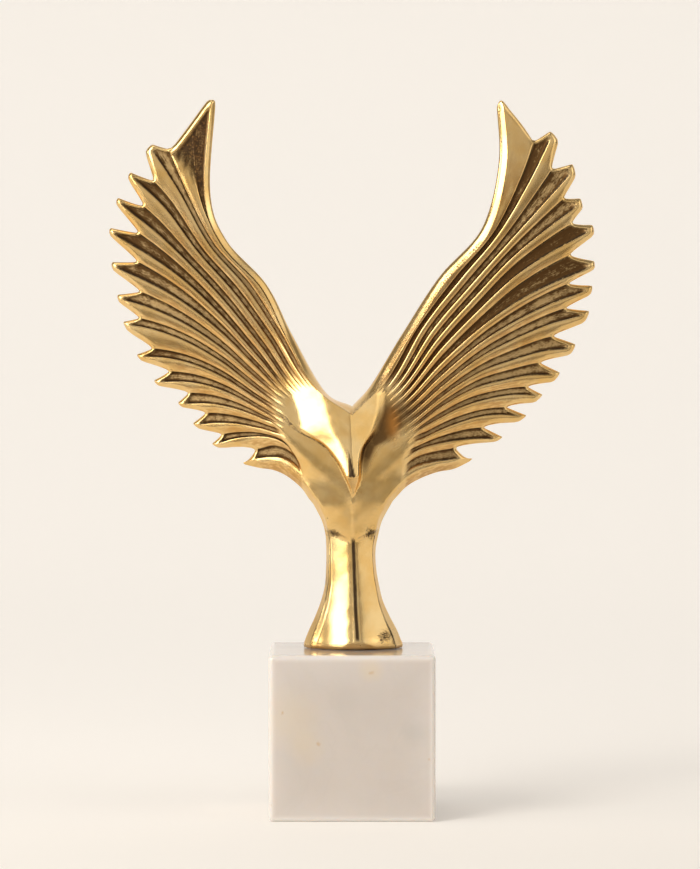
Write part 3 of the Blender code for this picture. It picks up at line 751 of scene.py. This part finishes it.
def makeGold():
    surface, wire = newMaterial("polishedBrass")
    along, place, side = wire.attribute("flow").parts()
    carve, rim, recess = wire.attribute("carve").parts()
    floorTone, underShare, headSide = wire.attribute("gaps").parts()
    solidDark, hollow, valley = wire.attribute("spots").parts()
    reach, height, blots = wire.attribute("stations").parts()
    position = wire.make("ShaderNodeTexCoord", output="Object")
    millimetres = position.scaled((1000, 1000, 1000))
    length, breadth, apart = goldFinish["streakStretch"]
    streaks = wire.make("ShaderNodeCombineXYZ", inputs={
        "X": along * length, "Y": place * breadth, "Z": side * apart})

    t = wire.sum("FLOORED_MODULO", place, 2.0)
    grain, coarse, cloud, speckle, pits = (
        millimetres.noise(*goldFinish[name]) for name in ("grain", "coarse", "cloud", "speckle", "pits"))
    streak = streaks.noise(*goldFinish["streak"])
    brushed = streaks.scaled(goldFinish["brushStretch"]).noise(*goldFinish["brushed"])

    # the brushed floors of the channels, darker toward the tips and along the walls: painted shade over each
    # feather's patchy tone
    floor = t.smooth(0.05, 0.14) * t.smooth(0.97, 0.88) * carve
    tipward = reach.smooth(0.66, 0.96)
    rootward = reach.smooth(0.62, 0.28)
    fineLines = wire.sum("SINE", place * 37 + streak * 2.5).smooth(0.25, 0.95)
    fineLines = fineLines * reach.smooth(0.80, 0.55) * floor
    nearWall = t.smooth(0.46, 0.08).most(t.smooth(0.62, 0.94))
    inward = side.smooth(-0.5, 0.5) * place.smooth(16, 8) * reach.smooth(0.86, 0.6)
    shade = inward * 0.32 + nearWall * 0.55 + tipward * 0.25 + brushed * 1.6
    shade = shade + grain * 0.5 + coarse * 1.1 + floorTone * 0.8 - 1.80
    shade = (shade.smooth(0.0, 0.65) * floor).most(fineLines * (0.35 + 0.6 * coarse))
    shade = shade.most(recess * (0.6 + 0.6 * grain))
    ragged = (grain * 0.8 + coarse * 0.5 + streak * 0.4).smooth(0.62, 0.98)
    wallLine = t.smooth(0.005, 0.045) * t.smooth(0.15, 0.075) + t.smooth(0.84, 0.92) * t.smooth(1.03, 0.975)
    wallLine = wallLine * carve * (0.55 + 0.7 * ragged) * (1 - recess)
    rimLine = rim.smooth(0.25, 0.6) * rim.smooth(0.98, 0.75) * t.smooth(1.05, 0.98)
    rimLine = rimLine * carve.smooth(0.01, 0.2) * (0.3 + 0.6 * ragged)

    # patina that stays in the creases of the head, the chevron and the borders of the stem's facets
    creaseLine = wire.sum("ABSOLUTE", headSide + 1).smooth(0.09, 0.02)
    border = wire.sum("ABSOLUTE", underShare - 1).smooth(0.16, 0.04) * height.smooth(57, 54)
    grime = creaseLine + border * 0.8 + blots
    speckle = speckle * 0.6 + grain * 0.4
    grime = (grime * 0.85 + (speckle - 0.5) * 3.4).smooth(0.50, 1.0) * grime.smooth(0.08, 0.4)
    pits = pits.smooth(0.70, 0.77) * coarse.smooth(0.48, 0.60)
    dark = wallLine.most(rimLine).most(grime).most(pits * 0.7).most(solidDark * (0.75 + 0.5 * grain))
    dark = dark.most(recess * (grain * 1.3 + coarse).smooth(0.85, 1.30) * 0.95).least(1.0)
    # painted reddish reflection in patches of the left spike's hollow
    spikeReflection = recess * coarse.smooth(0.42, 0.62) * 0.55

    band = t.smooth(1.0, 1.08) * carve.smooth(0.3, 0.8)
    # painted caramel reflection in noisy stretches along the bands, away from the tips
    glow = band * t.smooth(1.1, 1.6) * reach.smooth(1.0, 0.7) * (streak + coarse * 0.4).smooth(0.52, 0.80)
    tone = (cloud * 0.7 + coarse * 0.3).smooth(0.3, 0.7)
    colour = tone.blend(goldFinish["gold"], goldFinish["paleGold"])
    colour = (floor * 0.9).blend(colour, goldFinish["channel"])
    colour = (glow * 0.65).blend(colour, goldFinish["caramelReflection"])
    colour = shade.blend(colour, goldFinish["umber"])
    # painted shade in the valley between the head and the right wing
    colour = (valley * (0.65 + 0.7 * coarse)).least(0.95).blend(colour, goldFinish["umber"])
    # painted amber reflection in the dent by the head and in patches of the spike's hollow
    colour = (hollow * 0.9).most(spikeReflection).blend(colour, goldFinish["amberReflection"])
    # patina in the dark marks, turning to a painted amber reflection near the feather roots
    patinaAndReflection = (rootward * carve * 0.85).blend(goldFinish["patina"], goldFinish["amberReflection"])
    colour = dark.blend(colour, patinaAndReflection)
    polished, brushedOut = goldFinish["polishedRoughness"], goldFinish["channelRoughness"]
    roughness = polished + floor * (brushedOut - polished)
    roughness = roughness + dark * 0.25 + valley * 0.15 + (coarse - 0.5) * 0.08
    relief = (grain * 0.10 + coarse * 0.12) * (1 - band * 0.85) + grain * (0.40 * floor + 0.60 * recess)
    relief = relief + floor * brushed * 1.5 - dark * 0.25
    bump = wire.make("ShaderNodeBump", inputs={
        "Strength": goldFinish["bumpStrength"], "Distance": goldFinish["bumpDepth"], "Height": relief})
    finishMaterial(wire, {
        "Base Color": colour, "Roughness": roughness, "Metallic": 1 - dark * 0.2, "Normal": bump})
    return surface


marbleFinish = {
    "white": (0.570, 0.508, 0.456, 1.0),
    "shade": (0.52, 0.462, 0.412, 1.0),
    # edge is the colour of the painted highlight along the plinth's edges
    "edge": (0.86, 0.83, 0.80, 1.0),
    "warm": (0.66, 0.53, 0.34, 1.0),
    "grey": (0.47, 0.43, 0.385, 1.0),
    "speck": (0.50, 0.29, 0.11, 1.0),
    "roughness": 0.10,
    "halfSide": 0.04,
    "edgeRound": 0.0022,
    "edgeSteps": 8,
    "bumpStrength": 0.05,
    "bumpDepth": 0.0003,
    "coat": 0.3,
    "coatRoughness": 0.06,
    "translucence": 0.55,
    "lightReach": (1.0, 0.75, 0.55),
    "lightDepth": 0.009,
    # scale, detail, roughness and distortion of each noise
    "cloud": (14.0, 5.0, 0.55, 0.6),
    "fine": (60.0, 4.0, 0.6),
    "veins": (18.0, 6.0, 0.6, 1.4),
    "veinWidth": 0.035,
    "veinShare": 0.18,
    "wobble": (110.0, 3.0, 0.006),      # scale, detail and size of the spots' unevenness
    "edgeHighlights": ((0.0040, 0.0008, 0.30), (0.020, 0.0, 0.14)),     # start, end and strength of the painted highlights along the edges
    # soft spots near the front: middle, radius, strength and colour
    "spots": (
        ((0.0120, -0.037, 0.0765), 0.0090, 0.42, "warm"),
        ((0.0125, -0.037, 0.0755), 0.0020, 0.60, "speck"),
        ((-0.0270, -0.037, 0.0530), 0.0200, 0.30, "warm"),
        ((-0.0185, -0.037, 0.0390), 0.0120, 0.28, "warm"),
        ((-0.0125, -0.037, 0.0405), 0.0013, 0.45, "speck"),
        ((-0.0300, -0.037, 0.0555), 0.0011, 0.60, "speck"),
        ((-0.0350, -0.037, 0.0110), 0.0010, 0.60, "speck"),
        ((0.0400, -0.037, 0.0330), 0.0010, 0.60, "speck"),
        ((0.0330, -0.037, 0.0460), 0.0095, 0.50, "grey"),
        ((0.0000, -0.037, 0.0600), 0.0120, 0.25, "grey"),
    ),
}


def makeMarble():
    surface, wire = newMaterial("whiteMarble")
    position = wire.make("ShaderNodeTexCoord", output="Object")
    cloud, fine, veins = (position.noise(*marbleFinish[name]) for name in ("cloud", "fine", "veins"))
    vein = 1 - wire.sum("ABSOLUTE", veins - 0.5).smooth(0.0, marbleFinish["veinWidth"])
    scale, detail, reach = marbleFinish["wobble"]
    drift = wire.make("ShaderNodeTexNoise", inputs={
        "Vector": position, "Scale": scale, "Detail": detail}, output="Color")
    wobbly = wire.make("ShaderNodeVectorMath", {"operation": "MULTIPLY_ADD"}, {
        0: drift, 1: (reach, reach, reach), 2: position})
    colour = (cloud.smooth(0.35, 0.7) * 0.8).blend(marbleFinish["white"], marbleFinish["shade"])
    colour = (vein * marbleFinish["veinShare"]).blend(colour, marbleFinish["shade"])
    for middle, radius, strength, tone in marbleFinish["spots"]:
        gap = wire.make("ShaderNodeVectorMath", {"operation": "DISTANCE"},
                        {0: wobbly, 1: middle}, output="Value")
        colour = (gap.smooth(radius, radius * 0.1) * strength).blend(colour, marbleFinish[tone])

    # painted highlight along the edges: the second smallest of the gaps to the three pairs of faces
    x, y, z = position.parts()
    half = marbleFinish["halfSide"]
    first, second, third = (half - wire.sum("ABSOLUTE", way) for way in (x, y, z - half))
    edgeGap = first.least(second).most(first.most(second).least(third))
    narrowHighlight, wideHighlight = (edgeGap.smooth(start, end) * strength for start, end, strength in marbleFinish["edgeHighlights"])
    colour = (narrowHighlight + wideHighlight).blend(colour, marbleFinish["edge"])
    bump = wire.make("ShaderNodeBump", inputs={
        "Strength": marbleFinish["bumpStrength"], "Distance": marbleFinish["bumpDepth"], "Height": fine})
    finishMaterial(wire, {
        "Base Color": colour, "Roughness": marbleFinish["roughness"] + fine * 0.06, "Normal": bump,
        "Subsurface Weight": marbleFinish["translucence"], "Subsurface Radius": marbleFinish["lightReach"],
        "Subsurface Scale": marbleFinish["lightDepth"],
        "Coat Weight": marbleFinish["coat"], "Coat Roughness": marbleFinish["coatRoughness"]})
    return surface


def makeBird():
    corners, faces, masks = buildBirdMesh()
    lowest, highest = (Vector(corner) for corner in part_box("gilded_bird"))
    corners = corners * 0.001
    corners[:, 2] += lowest.z
    corners = np.clip(corners, np.array(lowest), np.array(highest))
    mesh = bpy.data.meshes.new("gildedBirdCasting")
    mesh.from_pydata(corners.tolist(), [], faces)
    mesh.validate()
    mesh.shade_smooth()
    half = len(corners) // 2
    for name, values in masks.items():
        both = np.concatenate([values, values])
        if name == "carve":
            both[half:] *= (0.75, 1.0, 0.0)
        if name == "spots":
            both[half:] = 0
        if name == "gaps":
            both[half:, 2] = farAside
        layer = mesh.attributes.new(name, "FLOAT_VECTOR", "POINT")
        layer.data.foreach_set("vector", both.astype(np.float32).ravel())
    bird = bpy.data.objects.new("gildedBirdCasting", mesh)
    bpy.context.scene.collection.objects.link(bird)
    mesh.materials.append(makeGold())
    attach(bird, "root")
    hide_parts("gilded_bird")
    print("bird casting", len(mesh.polygons), "faces")


def makePlinth():
    lowest, highest = (np.array(corner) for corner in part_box("marble_plinth"))
    bpy.ops.mesh.primitive_cube_add(size=1.0)
    plinth = bpy.context.object
    plinth.name = "marblePlinthBlock"
    plinth.data.name = "marblePlinthBlock"
    for vertex in plinth.data.vertices:
        vertex.co = Vector(lowest + (np.array(vertex.co) + 0.5) * (highest - lowest))
    rounding = plinth.modifiers.new("rounding", "BEVEL")
    rounding.width = marbleFinish["edgeRound"]
    rounding.segments = marbleFinish["edgeSteps"]
    rounding.harden_normals = True
    plinth.data.shade_smooth()
    plinth.data.materials.append(makeMarble())
    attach(plinth, "root")
    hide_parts("marble_plinth")
    print("marble plinth made")


studio = {
    "paper": (0.80, 0.755, 0.69, 1.0),
    "frontGlow": (0.160, 0.155, 0.150, 1.0),
    "floorGlow": (0.258, 0.249, 0.243, 1.0),
    "wallGlow": (0.397, 0.383, 0.368, 1.0),
    "world": (0.95, 0.92, 0.88, 1.0),
    "worldStrength": 0.25,
    "floorFront": -0.9,
    "bendStart": 1.4,
    "bendRadius": 1.2,
    "bendSteps": 14,
    "wallTop": 4.0,
    "halfWidth": 4.5,
    "openFrom": 10,             # above this line the paper only lights the bird and hides no view
    "lightAim": (0, 0, 0.2),
    "sensorWidth": 36.0,
    "cameraPlace": (-0.0010, -2.270, 0.2715),
    "cameraPitch": 87.8,
    "cameraLens": 193.7,
    # name, place, size, brightness of its face, colour
    "lights": (
        ("keyLight", (-1.25, -1.45, 0.95), (1.14, 1.80), 5.2, (1.0, 0.98, 0.95)),
        ("leftLight", (-2.0, -0.35, 0.6), (0.6, 0.6), 6.0, (1.0, 0.98, 0.95)),
        ("topLight", (-0.3, -0.2, 1.9), (1.2, 0.9), 1.6, (1.0, 0.98, 0.95)),
        ("frontCard", (0.2, -3.3, 1.0), (2.6, 2.0), 0.42, (1.0, 0.95, 0.88)),
        ("rightCard", (1.9, -1.5, 0.5), (1.6, 1.6), 0.80, (1.0, 0.96, 0.90)),
        ("sideCard", (1.9, -0.7, 1.3), (1.7, 1.7), 0.85, (1.0, 0.96, 0.90)),
    ),
}


def makeStudio():
    surface, wire = newMaterial("palePaper")
    depth = wire.make("ShaderNodeTexCoord", output="Object").parts()[1]
    glow = depth.smooth(-0.35, 0.35).blend(studio["frontGlow"], studio["floorGlow"])
    glow = depth.smooth(-0.2, 1.8).blend(glow, studio["wallGlow"])
    finishMaterial(wire, {
        "Base Color": studio["paper"], "Roughness": 0.9, "Specular IOR Level": 0.1,
        "Emission Color": glow, "Emission Strength": 1.0})
    start, radius, split = studio["bendStart"], studio["bendRadius"], studio["openFrom"]
    turns = np.linspace(0.1, math.pi / 2, studio["bendSteps"])
    profile = [(studio["floorFront"], 0.0), (start, 0.0)]
    profile += [(start + radius * math.sin(turn), radius - radius * math.cos(turn)) for turn in turns]
    profile += [(start + radius, studio["wallTop"])]
    for name, outline in (("paperSweep", profile[:split + 1]), ("paperWall", profile[split:])):
        vertices = [(x, y, z) for y, z in outline for x in (-studio["halfWidth"], studio["halfWidth"])]
        faces = [(2 * n, 2 * n + 1, 2 * n + 3, 2 * n + 2) for n in range(len(outline) - 1)]
        mesh = bpy.data.meshes.new(name)
        mesh.from_pydata(vertices, [], faces)
        mesh.shade_smooth()
        mesh.materials.append(surface)
        sheet = bpy.data.objects.new(name, mesh)
        sheet.visible_camera = name == "paperSweep"
        bpy.context.scene.collection.objects.link(sheet)

    for name, place, size, brightness, colour in studio["lights"]:
        light = bpy.data.lights.new(name, "AREA")
        light.shape = "RECTANGLE"
        light.size, light.size_y = size
        light.energy = brightness * math.pi * size[0] * size[1]
        light.color = colour
        lamp = bpy.data.objects.new(name, light)
        lamp.location = place
        aim = Vector(studio["lightAim"]) - Vector(place)
        lamp.rotation_euler = aim.to_track_quat("-Z", "Y").to_euler()
        bpy.context.scene.collection.objects.link(lamp)

    world = bpy.data.worlds.new("studioAir")
    world.use_nodes = True
    background = world.node_tree.nodes["Background"]
    background.inputs["Color"].default_value = studio["world"]
    background.inputs["Strength"].default_value = studio["worldStrength"]
    bpy.context.scene.world = world
    bpy.context.scene.view_settings.view_transform = "Standard"

    camera = bpy.data.objects.new("photoCamera", bpy.data.cameras.new("photoCamera"))
    camera.data.lens = studio["cameraLens"]
    camera.data.sensor_width = studio["sensorWidth"]
    camera.location = studio["cameraPlace"]
    camera.rotation_euler = (math.radians(studio["cameraPitch"]), 0, 0)
    bpy.context.scene.collection.objects.link(camera)
    bpy.context.scene.camera = camera
    print("studio and camera set")


makeBird()
makePlinth()
makeStudio()
